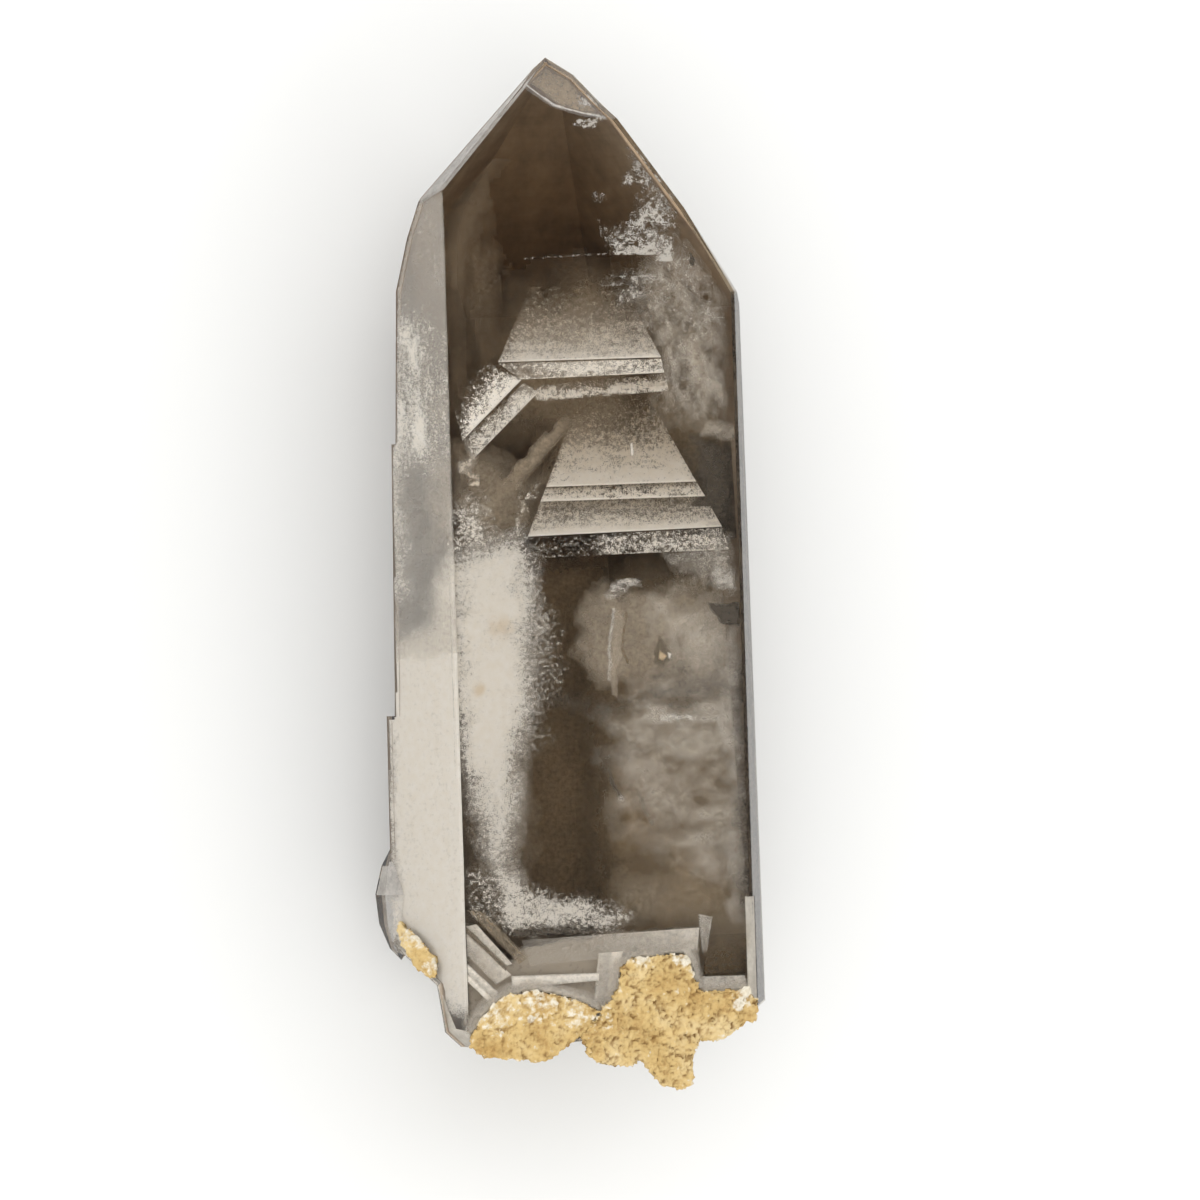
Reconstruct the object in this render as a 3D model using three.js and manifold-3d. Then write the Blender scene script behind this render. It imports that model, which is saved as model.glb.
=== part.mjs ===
// Smoky quartz point with clay caked in its broken base, lying on its back prism face.
// Millimetres. X runs across the front face from its left edge, Y along the crystal towards the tip,
// and Z up from the back face, which the crystal lies on.
import * as THREE from 'three';
import { mergeVertices } from 'three/addons/utils/BufferGeometryUtils.js';
import Module from 'manifold-3d';

// Driving dimensions of the crystal
const crystalDepth = 22;        // back face to front face
const frontWidth = 30.3;        // front prism face, edge to edge
const leftShoulder = 84.6;       // where the front face's left edge ends, along Y
const rightShoulder = 72.6;     // where its right edge ends
const backShoulder = 72;        // where the back face turns up to the tip
const prismAngle = 60;          // between neighbouring prism faces
const rhombLean = 38.2;         // how far a rhomb face's normal leans towards the tip
const fitGap = 0.3;             // left between the clay and the quartz

// The rough block that the faces are cut from, larger than the crystal but for its base
const rough = { from: [-30, -4, -10], to: [60, 120, 40] };

// Every face of the crystal: the azimuth of its normal from +Z towards +X, its lean towards the tip,
// and a point that it passes through.
const faces = {
  front: { azimuth: 0, lean: 0, through: [0, 0, crystalDepth] },
  right: { azimuth: prismAngle, lean: 0, through: [frontWidth, 0, crystalDepth] },
  rightBack: { azimuth: 2 * prismAngle, lean: 1.6, through: [31.4, rightShoulder, 20.1] },
  back: { azimuth: 3 * prismAngle, lean: 0, through: [0, 0, 0] },
  left: { azimuth: -prismAngle, lean: 0, through: [0, 0, crystalDepth] },
  leftRhomb: { azimuth: -81, lean: 41, through: [0, leftShoulder, crystalDepth] },
  leftBackRhomb: { azimuth: -121, lean: 41, through: [-1.5, 83.8, 19.6] },
  leftShoulderUpper: { azimuth: -119, lean: 22.5, through: [-1.5, 83.7, 19.4] },
  leftShoulderLower: { azimuth: -119, lean: 16, through: [-2.5, 79.6, 17.7] },
  rightRhomb: { azimuth: prismAngle, lean: 27, through: [29.8, 74.4, crystalDepth] },
  rightBackRhomb: { azimuth: 2 * prismAngle, lean: 32.8, through: [27.35, 79.3, crystalDepth] },
  backRhomb: { azimuth: 3 * prismAngle, lean: rhombLean, through: [0, backShoulder, 0] },
  tipBreak: { azimuth: 132, lean: 50, through: [13.4, 96.6, 21.3] },
};

// The left back prism face is stepped: each growth terrace ends at its top and stands a little prouder.
const terraces = [
  { top: 120, lean: 2.3, through: [-3.4, 73.6, 16.2] },
  { top: 59.2, lean: 1.2, through: [-4.0, 56.6, 15.0] },
  { top: 32, lean: 0.4, through: [-4.9, 30.5, 13.5] },
];

// The broken base: flat breaks, and scoops where shells of quartz came away
const baseBreaks = {
  bottom: { azimuth: 160, lean: -82, through: [15, 0.6, 11] },
  leftCorner: { azimuth: -112, lean: -49, through: [-4.2, 8.1, 14.7] },
  rightCorner: { azimuth: 70, lean: -50, through: [30.9, 1.4, 20] },
};
const baseScoops = [
  { radius: 13, centre: [9, -11, 1.5] },
  { radius: 9, centre: [24, -6.8, 8] },
];

// The foot is a sliver of the left edge that reaches below the left corner's break.
const foot = {
  side: { azimuth: -76, lean: -8, through: [-1.5, 3.2, 19.4] },
  bottom: { azimuth: -70, lean: -45, through: [-1.0, 0.6, 20.2] },
  from: [-3, -1.2, 18.6],
  to: [3, 9, crystalDepth],
};

// The front right edge is bevelled below this height.
const rightBevel = { face: { azimuth: 38, lean: 0, through: [29.7, 0, crystalDepth] }, top: 12.8 };

// The tip has a shell-shaped chip: a shallow scoop of a large sphere.
const tipChip = { radius: 40, centre: [17.8, 104.9, crystalDepth + 37.5] };

// The small side crystal: its profile as radius and height along Y
const sideCrystal = {
  centre: [-3.9, 13.6, 12.6],
  profile: [[0, -6.1], [1.1, -4.9], [2.1, -2.4], [2.4, 0.6], [1.7, 3.4], [0.6, 5.4], [0, 5.9]],
  sides: 7,
};

// Clay lumps: an outline on the front face, a point inside it and the heights they fill
const clayLumps = {
  clay_left: {
    outline: [[0.5, 0.2], [1.9, 1.9], [3.6, 3.7], [5.8, 4.3], [8.6, 4.1], [11.4, 3.6], [13.2, 2.8],
      [11.0, -0.6], [9.2, -2.2], [6.6, -3.0], [3.4, -2.5], [1.0, -1.6]],
    centre: [6.6, 0.7],
    bottom: 12,
    top: 22.1,
  },
  clay_right: {
    outline: [[12.2, -0.7], [14.6, 2.2], [16.3, 4.8], [16.1, 6.4], [18.0, 7.1], [21.6, 7.4], [23.8, 7.2],
      [24.2, 5.0], [25.2, 3.4], [27.2, 3.4], [29.2, 3.5], [30.5, 1.8], [29.2, 0.2], [27.0, -1.1],
      [24.0, -1.9], [21.4, -3.0], [18.0, -3.3], [15.0, -3.7], [13.0, -2.9]],
    centre: [21, 1.5],
    bottom: 10,
    top: 22.4,
    nub: { centre: [23.0, -3.5, 16.8], size: [2.0, 2.6, 2.3] },
  },
};
const claySide = { centre: [-2.9, 8.3, 17.0], size: [1.3, 3.4, 1.5], along: [0.34, -0.73, 0.59] };

// Finishes read from the photo
const quartzFinish = { color: 0x4b3929, roughness: 0.05, metalness: 0 };
const clayFinish = { color: 0xd9b877, roughness: 0.95, metalness: 0 };

const farAway = 400;            // larger than any face of the crystal
const curveSteps = 120;         // points around a clay outline
const pillowSides = 40;         // facets around a clay lump
const pillowRings = 10;         // and from its top to its bottom
const lumpSides = 14;           // facets around the nub and the side clay
const lumpRings = 9;            // and from end to end
const rimRounding = 0.45;       // 1 is a ball, towards 0 is a sharp rim
const undersideScale = 0.55;    // a clay lump's underside, against its outline on the front face
const roundSteps = 80;          // segments around a scoop's sphere

const wasm = await Module();
wasm.setup();

// A closed three.js geometry as a solid that can be joined and cut
function solid(geometry) {
  const bare = geometry.clone();
  bare.deleteAttribute('normal');
  bare.deleteAttribute('uv');
  const merged = mergeVertices(bare);
  return new wasm.Manifold(new wasm.Mesh({
    numProp: 3,
    vertProperties: new Float32Array(merged.attributes.position.array),
    triVerts: new Uint32Array(merged.index.array),
  }));
}

// A solid as a named mesh of flat facets
function namedMesh(name, body, finish) {
  const { vertProperties, triVerts } = body.getMesh();
  const geometry = new THREE.BufferGeometry();
  geometry.setAttribute('position', new THREE.BufferAttribute(vertProperties, 3));
  geometry.setIndex(new THREE.BufferAttribute(triVerts, 1));
  geometry.computeVertexNormals();
  const mesh = new THREE.Mesh(geometry, new THREE.MeshStandardMaterial({ flatShading: true, ...finish }));
  mesh.name = name;
  return mesh;
}

function faceNormal({ azimuth, lean }) {
  const a = THREE.MathUtils.degToRad(azimuth);
  const l = THREE.MathUtils.degToRad(lean);
  return new THREE.Vector3(Math.sin(a) * Math.cos(l), Math.sin(l), Math.cos(a) * Math.cos(l));
}

// All the space outside a face, moved outwards by grow
function outside(face, grow = 0) {
  const normal = faceNormal(face);
  const turn = new THREE.Quaternion().setFromUnitVectors(new THREE.Vector3(0, 0, 1), normal);
  const centre = new THREE.Vector3(...face.through).addScaledVector(normal, farAway / 2 + grow);
  const cube = new THREE.BoxGeometry(farAway, farAway, farAway);
  return solid(cube.applyQuaternion(turn).translate(...centre));
}

function ball({ radius, centre }) {
  return solid(new THREE.SphereGeometry(radius, roundSteps, roundSteps / 2).translate(...centre));
}

function block(from, to) {
  const size = to.map((value, axis) => value - from[axis]);
  const middle = to.map((value, axis) => (value + from[axis]) / 2);
  return solid(new THREE.BoxGeometry(...size).translate(...middle));
}

function cutBy(body, faceList, grow) {
  return faceList.reduce((rest, face) => rest.subtract(outside(face, grow)), body);
}

// The quartz point: its stepped prism and tip, before the base is broken
function point(grow) {
  const habit = cutBy(block(rough.from, rough.to), Object.values(faces), grow);
  const steps = terraces.map(({ top, lean, through }) => cutBy(habit, [
    { azimuth: -2 * prismAngle, lean, through },
    { azimuth: 0, lean: 90, through: [0, top, 0] },
  ], grow));
  return steps.reduce((whole, step) => whole.add(step));
}

function footSliver(grow) {
  return cutBy(block(foot.from, foot.to), [faces.front, faces.left, foot.side, foot.bottom], grow);
}

function sideCrystalBody(grow) {
  const profile = sideCrystal.profile.map(([radius, height]) => (
    new THREE.Vector2(radius > 0 ? radius + grow : 0, height + Math.sign(height) * grow)));
  return solid(new THREE.LatheGeometry(profile, sideCrystal.sides).translate(...sideCrystal.centre));
}

function quartz(grow = 0) {
  const broken = cutBy(point(grow), Object.values(baseBreaks), grow)
    .add(footSliver(grow))
    .add(sideCrystalBody(grow));
  const belowBevelTop = outside({ azimuth: 0, lean: -90, through: [0, rightBevel.top, 0] });
  const bevel = outside(rightBevel.face, grow).intersect(belowBevelTop);
  const chipped = [tipChip, ...baseScoops].reduce((rest, scoop) => rest.subtract(ball(scoop)), broken);
  return chipped.subtract(bevel);
}

// How far a closed outline lies from its centre in each direction
function outlineReach(outline, [centreX, centreY]) {
  const corners = outline.map(([x, y]) => new THREE.Vector3(x - centreX, y - centreY, 0));
  const rim = new THREE.CatmullRomCurve3(corners, true).getPoints(curveSteps).slice(0, -1);
  const polar = rim.map((p) => ({ angle: Math.atan2(p.y, p.x), reach: Math.hypot(p.x, p.y) }));
  polar.sort((a, b) => a.angle - b.angle);
  const first = polar[0];
  const last = polar[polar.length - 1];
  const turn = 2 * Math.PI;
  const ring = [
    { ...last, angle: last.angle - turn },
    ...polar,
    { ...first, angle: first.angle + turn },
  ];
  return (angle) => {
    const next = ring.findIndex((p) => p.angle > angle);
    const [before, after] = [ring[next - 1], ring[next]];
    const share = (angle - before.angle) / (after.angle - before.angle);
    return THREE.MathUtils.lerp(before.reach, after.reach, share);
  };
}

// A pillow of clay, or the hollow that holds it when it grows: a ball pushed out to an outline drawn on
// the front face, with rounded rims
function pillow({ outline, centre, bottom, top }, grow = 0) {
  const reach = outlineReach(outline, centre);
  const half = (top - bottom) / 2 + grow;
  const geometry = new THREE.SphereGeometry(1, pillowSides, pillowRings).rotateX(Math.PI / 2);
  const { position } = geometry.attributes;
  const spot = new THREE.Vector3();
  for (let i = 0; i < position.count; i += 1) {
    spot.fromBufferAttribute(position, i);
    const angle = Math.atan2(spot.y, spot.x);
    const rise = Math.sign(spot.z) * Math.abs(spot.z) ** rimRounding;
    const narrowing = THREE.MathUtils.lerp(undersideScale, 1, (1 + rise) / 2);
    const across = (reach(angle) * narrowing + grow) * Math.hypot(spot.x, spot.y) ** rimRounding;
    position.setXYZ(i, centre[0] + across * Math.cos(angle), centre[1] + across * Math.sin(angle),
      (bottom + top) / 2 + rise * half);
  }
  return solid(geometry);
}

// A round lump whose second size lies along a direction
function roundLump({ centre, size, along = [0, 1, 0] }) {
  const turn = new THREE.Quaternion().setFromUnitVectors(
    new THREE.Vector3(0, 1, 0), new THREE.Vector3(...along).normalize());
  const lump = new THREE.SphereGeometry(1, lumpSides, lumpRings).scale(...size);
  return solid(lump.applyQuaternion(turn).translate(...centre));
}

function clayLump(lump) {
  const body = pillow(lump);
  return lump.nub ? body.add(roundLump(lump.nub)) : body;
}

const hollows = Object.values(clayLumps).map((lump) => pillow(lump, fitGap));
const crystal = hollows.reduce((rest, hollow) => rest.subtract(hollow), quartz());

const specimen = new THREE.Group();
specimen.add(namedMesh('crystal', crystal, quartzFinish));
for (const [name, lump] of Object.entries(clayLumps)) {
  specimen.add(namedMesh(name, clayLump(lump), clayFinish));
}
specimen.add(namedMesh('clay_side', roundLump(claySide).subtract(quartz(fitGap)), clayFinish));

// The origin is under the middle of the whole specimen, on the surface that it lies on.
const bounds = new THREE.Box3().setFromObject(specimen);
const middle = bounds.getCenter(new THREE.Vector3());
specimen.position.set(-middle.x, -middle.y, -bounds.min.z);

const root = new THREE.Group();
root.add(specimen);
export default root;
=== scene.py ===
import math
import bpy
import numpy as np
from mathutils import Matrix, Vector
from mathutils.bvhtree import BVHTree


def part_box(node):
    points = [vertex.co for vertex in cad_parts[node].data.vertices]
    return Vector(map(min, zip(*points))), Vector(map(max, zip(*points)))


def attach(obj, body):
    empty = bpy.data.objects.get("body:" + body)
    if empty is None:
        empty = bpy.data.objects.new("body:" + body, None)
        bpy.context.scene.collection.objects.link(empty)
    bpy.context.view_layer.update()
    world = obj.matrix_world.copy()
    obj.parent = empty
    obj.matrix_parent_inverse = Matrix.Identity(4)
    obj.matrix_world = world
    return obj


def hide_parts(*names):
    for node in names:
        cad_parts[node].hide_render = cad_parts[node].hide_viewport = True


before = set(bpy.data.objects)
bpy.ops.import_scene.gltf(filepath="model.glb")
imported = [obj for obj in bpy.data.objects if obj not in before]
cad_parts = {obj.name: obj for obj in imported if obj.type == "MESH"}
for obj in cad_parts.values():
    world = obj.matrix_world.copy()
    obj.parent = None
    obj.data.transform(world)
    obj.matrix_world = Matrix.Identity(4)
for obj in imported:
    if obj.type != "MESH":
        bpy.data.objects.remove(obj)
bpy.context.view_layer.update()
mm = 0.001  # the sizes below are in millimetres

# Where the quartz lies, read from the frame
crystalLow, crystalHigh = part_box("crystal")
frontHeight = crystalHigh.z / mm  # the front face is flat and on top
baseDip = 1.2  # the break dips this far below the mean base line
baseLine = crystalLow.y / mm + baseDip
flatness = 0.01  # mm


def pointsOf(mesh, key="co"):
    points = np.empty(len(mesh.vertices) * 3)
    mesh.vertices.foreach_get(key, points)
    return points.reshape(-1, 3)


def setAttribute(mesh, name, values):
    attribute = mesh.attributes.new(name, "FLOAT", "POINT")
    attribute.data.foreach_set("value", values)


crystalPoints = pointsOf(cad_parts["crystal"].data) / mm
frontPoints = crystalPoints[crystalPoints[:, 2] > frontHeight - flatness]
leftEdge = frontPoints[:, 0].min()
rightEdge = frontPoints[:, 0].max()

quartz = {
    "ior": 1.544,
    "absorptionColour": (0.62, 0.53, 0.4),
    "absorptionDensity": 100,  # per metre
    "prismAngle": math.radians(60),
    "flatAngle": math.radians(0.3),  # triangles closer than this are one face
    "smoothAngle": math.radians(9),
}
view = {
    "tilt": math.radians(17),  # the camera stands this far round to the left
    "roll": math.radians(1.75),  # and the tip leans this far to the left
    "lens": 300,  # mm
    "sensor": 36,  # mm
    "pictureWidth": 120,  # mm across the picture, on the front face
    "centreAcross": 15.22,  # mm from the left edge of the front face
    "centreAlong": 43.0,  # mm up from the base line
}
insideTilt = math.asin(math.sin(view["tilt"]) / quartz["ior"])  # the line of sight inside the quartz
print("frame read: front face", round(rightEdge - leftEdge, 1), "mm wide")


class Wire:  # a node's socket that takes part in sums
    def __init__(self, nodes, socket):
        self.nodes = nodes
        self.socket = socket

    def join(self, operation, first, second):
        return self.nodes.add("ShaderNodeMath", {"operation": operation}, {0: first, 1: second})

    def __add__(self, other):
        return self.join("ADD", self, other)

    def __radd__(self, other):
        return self.join("ADD", other, self)

    def __sub__(self, other):
        return self.join("SUBTRACT", self, other)

    def __rsub__(self, other):
        return self.join("SUBTRACT", other, self)

    def __mul__(self, other):
        return self.join("MULTIPLY", self, other)

    def __rmul__(self, other):
        return self.join("MULTIPLY", other, self)


class Nodes:  # a node tree that is written as expressions
    def __init__(self, owner):
        owner.use_nodes = True
        self.tree = owner.node_tree

    def set(self, node, socket, value):
        target = node.inputs[socket]
        if isinstance(value, Wire):
            self.tree.links.new(value.socket, target)
        else:
            target.default_value = value

    def add(self, kind, settings=None, sockets=None, output=0):
        node = self.tree.nodes.new(kind)
        for key, value in (settings or {}).items():
            if key == "stops":
                self.setStops(node.color_ramp, value)
            else:
                setattr(node, key, value)
        for socket, value in (sockets or {}).items():
            self.set(node, socket, value)
        return Wire(self, node.outputs[output])

    def setStops(self, ramp, stops):
        while len(ramp.elements) < len(stops):
            ramp.elements.new(0.5)
        for element, (place, colour) in zip(ramp.elements, stops):
            element.position = place
            element.color = (*colour, 1)

    def place(self):
        return self.add("ShaderNodeTexCoord", output="Object")

    def stretch(self, vector, scale):
        return self.add("ShaderNodeMapping", {}, {"Vector": vector, "Scale": scale})

    def noise(self, vector, scale, detail=4, roughness=0.55):
        sockets = {"Vector": vector, "Scale": scale, "Detail": detail, "Roughness": roughness}
        return self.add("ShaderNodeTexNoise", {}, sockets)

    def ramp(self, factor, stops):
        return self.add("ShaderNodeValToRGB", {"stops": stops}, {0: factor})

    def fit(self, value, low, high, newLow=0.0, newHigh=1.0):
        sockets = {0: value, 1: low, 2: high, 3: newLow, 4: newHigh}
        return self.add("ShaderNodeMapRange", {"clamp": True}, sockets)

    def mix(self, factor, first, second):
        settings = {"data_type": "RGBA"}
        return self.add("ShaderNodeMix", settings, {0: factor, 6: first, 7: second}, output=2)

    def bump(self, height, strength, distance):
        sockets = {"Height": height, "Strength": strength, "Distance": distance}
        return self.add("ShaderNodeBump", {}, sockets)


def finishNamed(name):
    material = bpy.data.materials.new(name)
    nodes = Nodes(material)
    shader = nodes.tree.nodes["Principled BSDF"]
    return material, nodes, shader


def rgb(red, green, blue):
    return (red, green, blue, 1)


def makeDull(nodes, shader, patch):  # dry dust, hardly shiny
    nodes.set(shader, "Roughness", nodes.fit(patch, 0.3, 0.7, 0.8, 0.95))
    nodes.set(shader, "Specular IOR Level", 0.1)


def makeQuartzFinish():
    material, nodes, shader = finishNamed("smoky_quartz")
    place = nodes.place()
    striation = nodes.noise(nodes.stretch(place, (40, 1400, 40)), 1.0, 3, 0.5)  # fine cross lines
    swell = nodes.noise(place, 120, 2, 0.5)
    nodes.set(shader, "Base Color", rgb(1, 1, 1))
    nodes.set(shader, "Transmission Weight", 1.0)
    nodes.set(shader, "IOR", quartz["ior"])
    nodes.set(shader, "Roughness", nodes.fit(swell, 0.35, 0.7, 0.0, 0.03))
    nodes.set(shader, "Normal", nodes.bump(striation * 0.4 + swell, 0.06, 0.0002))
    absorption = nodes.tree.nodes.new("ShaderNodeVolumeAbsorption")
    absorption.inputs["Color"].default_value = rgb(*quartz["absorptionColour"])
    absorption.inputs["Density"].default_value = quartz["absorptionDensity"]
    output = nodes.tree.nodes["Material Output"]
    nodes.tree.links.new(absorption.outputs["Volume"], output.inputs["Volume"])
    return material


def makeVeilFinish():
    material, nodes, shader = finishNamed("phantom_dust")
    spot = nodes.add("ShaderNodeUVMap", {"uv_map": "spot"})  # across and along, in mm
    cover, grain, pale, stain = (
        nodes.add("ShaderNodeAttribute", {"attribute_name": name}, output="Fac")
        for name in ("cover", "grain", "pale", "stain")
    )
    specks = nodes.noise(spot, 8.5, 2, 0.7) * 0.5 + nodes.noise(spot, 2.4, 4, 0.65) * 0.5
    speck = nodes.fit(specks, 0.38, 0.62)
    patch = nodes.noise(spot, 1.1, 3, 0.6)
    dusty = nodes.fit(cover - speck, -0.2, 0.2)
    mottled = cover * nodes.fit(nodes.noise(spot, 2.0, 5, 0.7), 0.3, 0.7, 0.6, 1.3)
    alpha = mottled * (1 - grain) + dusty * grain
    white = nodes.ramp(patch, [(0.3, (0.9, 0.84, 0.74)), (0.7, (0.94, 0.9, 0.83))])
    colour = nodes.mix(pale, rgb(0.06, 0.045, 0.03), white)
    colour = nodes.mix(stain, colour, rgb(0.5, 0.34, 0.15))
    nodes.set(shader, "Base Color", colour)
    makeDull(nodes, shader, patch)
    nodes.set(shader, "Alpha", nodes.fit(alpha, 0, 1))
    return material


def makeBackFinish():
    material, nodes, shader = finishNamed("back_haze")
    place = nodes.place()
    up = nodes.add("ShaderNodeSeparateXYZ", {}, {0: place}, output=1)
    patch = nodes.noise(nodes.stretch(place, (1, 0.4, 1)), 160, 4, 0.6)
    wisp = nodes.noise(nodes.stretch(place, (1, 0.25, 1)), 420, 4, 0.65)
    streak = nodes.noise(nodes.stretch(place, (1, 6, 1)), 90, 5, 0.65)
    milkyStops = [(0.34, (0.19, 0.14, 0.1)), (0.66, (0.5, 0.43, 0.35))]
    smokyStops = [(0.3, (0.19, 0.137, 0.09)), (0.7, (0.38, 0.285, 0.19))]
    milky = nodes.ramp(patch * 0.6 + streak * 0.4, milkyStops)
    smoky = nodes.ramp(wisp * 0.6 + streak * 0.4, smokyStops)
    tipWard = nodes.fit(up + (wisp - 0.5) * 0.012, 0.012, 0.03)
    nodes.set(shader, "Base Color", nodes.mix(tipWard, milky, smoky))
    makeDull(nodes, shader, patch)
    nodes.set(shader, "Alpha", nodes.fit(patch, 0.3, 0.6, 0.85, 1.0))
    return material


def makeRimFinish(name, dark, light, cover):
    material, nodes, shader = finishNamed(name)
    place = nodes.place()
    patch = nodes.noise(nodes.stretch(place, (1, 0.5, 1)), 500, 4, 0.65)
    fine = nodes.noise(place, 2600, 3, 0.7)
    nodes.set(shader, "Base Color", nodes.ramp(patch, [(0.3, dark), (0.7, light)]))
    makeDull(nodes, shader, patch)
    nodes.set(shader, "Alpha", nodes.fit(fine + (patch - 0.5) * 0.6, 0.3, 0.7, *cover))
    return material


def makeClayFinish():
    material, nodes, shader = finishNamed("ochre_clay")
    place = nodes.place()
    cream = nodes.add("ShaderNodeAttribute", {"attribute_name": "cream"}, output="Fac")
    pit = nodes.add("ShaderNodeAttribute", {"attribute_name": "pit"}, output="Fac")
    broad = nodes.noise(place, 230, 4, 0.6)
    fine = nodes.noise(place, 1300, 4, 0.7)
    ochre = nodes.ramp(
        broad, [(0.3, (0.35, 0.23, 0.085)), (0.5, (0.43, 0.31, 0.135)), (0.7, (0.49, 0.385, 0.21))]
    )
    pale = nodes.ramp(fine, [(0.35, (0.4, 0.34, 0.24)), (0.65, (0.56, 0.52, 0.43))])
    # painted shade: the hollows get less cream and a dark brown
    creamy = nodes.fit(cream + (fine - 0.5) * 1.6 - pit * 0.3, 0.35, 0.75)
    paintedShade = nodes.fit(pit + (broad - 0.5) * 1.5, 0.25, 1.4, 0, 0.85)
    freckled = nodes.fit(fine + (broad - 0.5) * 0.4, 0.28, 0.46, 0.55, 0)
    colour = nodes.mix(creamy, ochre, pale)
    # the dark brown of the painted shade in the hollows
    colour = nodes.mix(paintedShade, colour, rgb(0.15, 0.075, 0.022))
    colour = nodes.mix(freckled, colour, rgb(0.2, 0.105, 0.035))
    nodes.set(shader, "Base Color", colour)
    nodes.set(shader, "Roughness", nodes.fit(fine, 0.3, 0.7, 0.98, 0.88))
    nodes.set(shader, "Specular IOR Level", 0.1)
    nodes.set(shader, "Normal", nodes.bump(fine, 0.6, 0.0002))
    return material


quartzFinish = makeQuartzFinish()
veilFinish = makeVeilFinish()
backFinish = makeBackFinish()
rimFinish = makeRimFinish("rim_smoke", (0.03, 0.02, 0.013), (0.11, 0.085, 0.06), (0.7, 1.0))
tipFinish = makeRimFinish("tip_smoke", (0.26, 0.2, 0.13), (0.44, 0.36, 0.25), (0.5, 0.9))
sheenFinish = makeRimFinish("tip_sheen", (0.46, 0.43, 0.39), (0.6, 0.57, 0.53), (0.55, 0.9))
frostFinish = makeRimFinish("base_frost", (0.46, 0.41, 0.33), (0.66, 0.62, 0.55), (0.8, 1.0))
clayFinish = makeClayFinish()
print("finishes made")


def selectOnly(piece):
    bpy.ops.object.select_all(action="DESELECT")
    piece.select_set(True)
    bpy.context.view_layer.objects.active = piece


mergeWithin = 0.004  # mm


def copyNode(node, name):
    piece = bpy.data.objects.new(name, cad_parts[node].data.copy())
    bpy.context.scene.collection.objects.link(piece)
    piece.data.materials.clear()
    selectOnly(piece)
    bpy.ops.object.mode_set(mode="EDIT")
    bpy.ops.mesh.select_all(action="SELECT")
    bpy.ops.mesh.remove_doubles(threshold=mergeWithin * mm)
    bpy.ops.object.mode_set(mode="OBJECT")
    return piece


def finishPiece(piece, material):
    piece.data.materials.clear()
    piece.data.materials.append(material)
    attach(piece, "root")


def applyModifier(piece, kind, settings):
    selectOnly(piece)
    modifier = piece.modifiers.new(kind.title(), kind)
    for key, value in settings.items():
        setattr(modifier, key, value)
    bpy.ops.object.modifier_apply(modifier=modifier.name)


def smoothStep(value, low, high):
    t = np.clip((value - low) / (high - low), 0, 1)
    return t * t * (3 - 2 * t)


def copyCrystal(name):  # with each flat face in one piece
    piece = copyNode("crystal", name)
    bpy.ops.object.mode_set(mode="EDIT")
    bpy.ops.mesh.select_all(action="SELECT")
    bpy.ops.mesh.dissolve_limited(angle_limit=quartz["flatAngle"])
    bpy.ops.object.mode_set(mode="OBJECT")
    return piece


def makeCrystal():
    piece = copyCrystal("quartz_crystal")
    bpy.ops.object.shade_smooth_by_angle(angle=quartz["smoothAngle"])
    finishPiece(piece, quartzFinish)
    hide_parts("crystal")
    return piece


# What is sealed in the quartz is placed by how it shows through a face.
# On the front face: (across from the left edge, along from the base line, depth under the face)
def underFront(across, along, depth):
    x = leftEdge + across + depth * math.tan(insideTilt)
    return np.stack([x, baseLine + along, frontHeight - depth], axis=-1)


# On the left face: (down from the front edge, along from the base line, depth under the face)
def underLeft(down, along, depth):
    turn = quartz["prismAngle"]
    x = leftEdge - down * math.cos(turn) + depth * math.sin(turn)
    z = frontHeight - down * math.sin(turn) - depth * math.cos(turn)
    return np.stack([x, baseLine + along, z], axis=-1)


clay = {
    "voxel": 0.16,  # mm
    "pitSmooth": 12,  # rounds of smoothing that a hollow is measured against
    "pitDepth": 0.2,  # mm, a hollow this deep gets the full painted shade
    "crumbs": [(2.6, 1.0), (1.0, 0.8), (0.4, 0.5)],  # size and push of each layer of crumbs, mm
    "midLevel": 0.32,
}
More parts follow.
